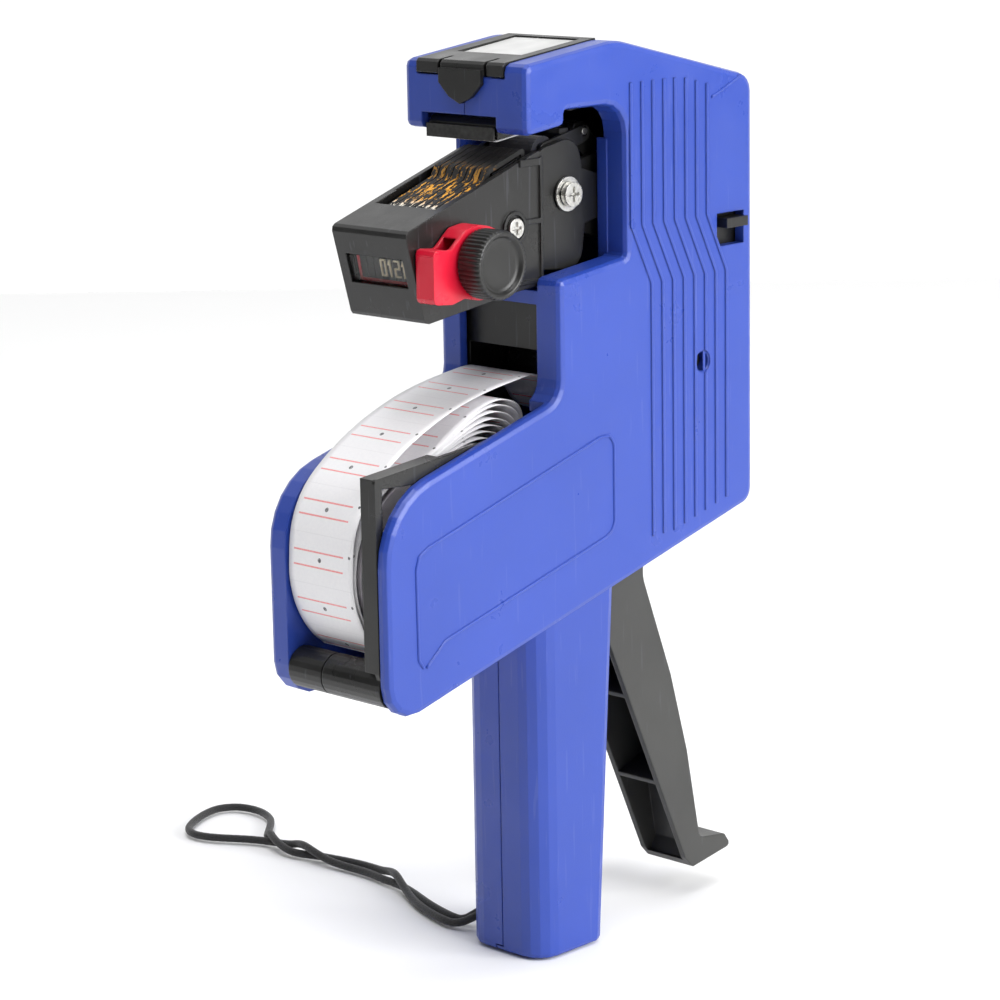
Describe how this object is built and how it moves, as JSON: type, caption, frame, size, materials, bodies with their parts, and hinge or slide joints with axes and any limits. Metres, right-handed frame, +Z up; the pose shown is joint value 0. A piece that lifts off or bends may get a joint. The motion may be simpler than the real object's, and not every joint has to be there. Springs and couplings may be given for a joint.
{
  "type": "price labeling gun",
  "caption": "Hand-held price labeling gun: a squeezed trigger swings the print arm up to the label, with a slide-and-turn number knob, label roll, feed wheel, hinged covers and wrist cord.",
  "frame": {"origin": "middle of the flat end of the handle, which the gun stands on", "axes": "-X towards the nose and the label roll, -Y towards the print knob, +Z up the handle"},
  "size_m": [0.1352, 0.1666, 0.2262],
  "materials": {
    "blue_abs": "fine moulded surface, slight sheen",
    "black_abs": "smooth black moulding",
    "dark_grey_abs": "smooth dark grey moulding",
    "red_abs": "glossy red moulding",
    "zinc_plated_steel": "bright zinc plating",
    "type_rubber": "inked rubber type",
    "label_paper": "white self-adhesive label paper",
    "core_plastic": "plain roll core",
    "clear_plastic": "clear moulded window",
    "braided_cord": "braided black cord",
    "ink_foam": "ink-soaked foam"
  },
  "bodies": {
    "casing": {"casing_right": "blue_abs", "casing_left": "blue_abs", "casing_screw_1": "zinc_plated_steel", "casing_screw_2": "zinc_plated_steel", "casing_screw_3": "zinc_plated_steel", "casing_screw_4": "zinc_plated_steel", "casing_screw_5": "zinc_plated_steel", "lever_pin": "zinc_plated_steel", "feed_axle": "zinc_plated_steel", "lid_hinge_pin": "zinc_plated_steel", "arm_bracket": "black_abs", "arm_pivot_shaft": "zinc_plated_steel", "pivot_washer": "zinc_plated_steel", "pivot_screw": "zinc_plated_steel", "ink_hinge_pin": "zinc_plated_steel", "label_chute": "black_abs", "platen": "black_abs", "peel_bar": "zinc_plated_steel", "roll_hub": "black_abs", "label_strip": "label_paper", "loose_turns": "label_paper", "cover_knuckle": "black_abs", "cover_hinge_pin": "zinc_plated_steel", "lever_spring": "zinc_plated_steel", "cord_bar": "zinc_plated_steel", "wrist_cord": "braided_cord"},
    "trigger": {"trigger_lever": "dark_grey_abs", "link_pin_low": "zinc_plated_steel", "pawl_pin": "zinc_plated_steel"},
    "link": {"drive_link": "zinc_plated_steel"},
    "pawl": {"feed_pawl": "black_abs"},
    "feed": {"feed_wheel": "black_abs", "ratchet_wheel": "black_abs"},
    "print_arm": {"head_housing": "black_abs", "number_window": "clear_plastic", "head_side_screw": "zinc_plated_steel", "arm_yoke": "black_abs", "link_pin_high": "zinc_plated_steel", "type_bands": "type_rubber", "type_block": "black_abs"},
    "pointer": {"selector_pointer": "red_abs"},
    "knob": {"print_knob": "black_abs", "selector_shaft": "zinc_plated_steel"},
    "ink_bracket": {"ink_holder": "black_abs"},
    "inker": {"ink_roller": "ink_foam", "ink_roller_axle": "zinc_plated_steel"},
    "roll": {"roll_core": "core_plastic", "label_roll": "label_paper"},
    "side_cover": {"roll_cover": "black_abs"},
    "lid": {"nose_cover": "black_abs", "cover_window": "clear_plastic"},
    "tab": {"release_tab": "black_abs"}
  },
  "joints": [
    {"name": "trigger_squeeze", "type": "hinge", "parent": "casing", "child": "trigger", "pos_m": [0.0427, 0, 0.1445], "axis": [0, 1, 0], "range_deg": [0, 16.5], "stiffness_Nm_per_rad": 1.2, "springref_deg": -22.92},
    {"name": "arm_swing", "type": "hinge", "parent": "casing", "child": "print_arm", "pos_m": [0.0039, 0, 0.1895], "axis": [0, 1, 0], "range_deg": [0, 11]},
    {"name": "link_turn", "type": "hinge", "parent": "trigger", "child": "link", "pos_m": [0.0507, 0, 0.1485], "axis": [0, 1, 0], "range_deg": [-18.6, 0]},
    {"name": "pawl_click", "type": "hinge", "parent": "trigger", "child": "pawl", "pos_m": [0.0339, 0, 0.1205], "axis": [0, 1, 0], "range_deg": [-6, 6], "stiffness_Nm_per_rad": 0.004},
    {"name": "feed_spin", "type": "hinge", "parent": "casing", "child": "feed", "pos_m": [0.0169, 0, 0.1455], "axis": [0, 1, 0], "continuous": true},
    {"name": "pointer_slide", "type": "slide", "parent": "print_arm", "child": "pointer", "axis": [0, -1, 0], "range_m": [0, 0.01575]},
    {"name": "knob_turn", "type": "hinge", "parent": "pointer", "child": "knob", "pos_m": [-0.0341, 0, 0.1779], "axis": [0, -1, 0], "continuous": true},
    {"name": "ink_swing", "type": "hinge", "parent": "casing", "child": "ink_bracket", "pos_m": [0.0129, 0, 0.2035], "axis": [0, 1, 0], "range_deg": [0, 8.1]},
    {"name": "inker_spin", "type": "hinge", "parent": "ink_bracket", "child": "inker", "pos_m": [-0.0006, 0, 0.1995], "axis": [0, 1, 0], "continuous": true},
    {"name": "roll_spin", "type": "hinge", "parent": "casing", "child": "roll", "pos_m": [-0.0429, 0, 0.107], "axis": [0, 1, 0], "continuous": true},
    {"name": "side_cover_swing", "type": "hinge", "parent": "casing", "child": "side_cover", "pos_m": [-0.0634, 0, 0.0825], "axis": [0, -1, 0], "range_deg": [0, 95]},
    {"name": "lid_swing", "type": "hinge", "parent": "casing", "child": "lid", "pos_m": [0.0146, 0, 0.2235], "axis": [0, 1, 0], "range_deg": [0, 95]},
    {"name": "tab_slide", "type": "slide", "parent": "casing", "child": "tab", "axis": [0, 0, -1], "range_m": [0, 0.004]}
  ],
  "couplings": [
    {"joint": "arm_swing", "follows": "trigger_squeeze", "ratio": 0.666},
    {"joint": "link_turn", "follows": "trigger_squeeze", "ratio": -1.126},
    {"joint": "ink_swing", "follows": "trigger_squeeze", "ratio": 0.485}
  ]
}
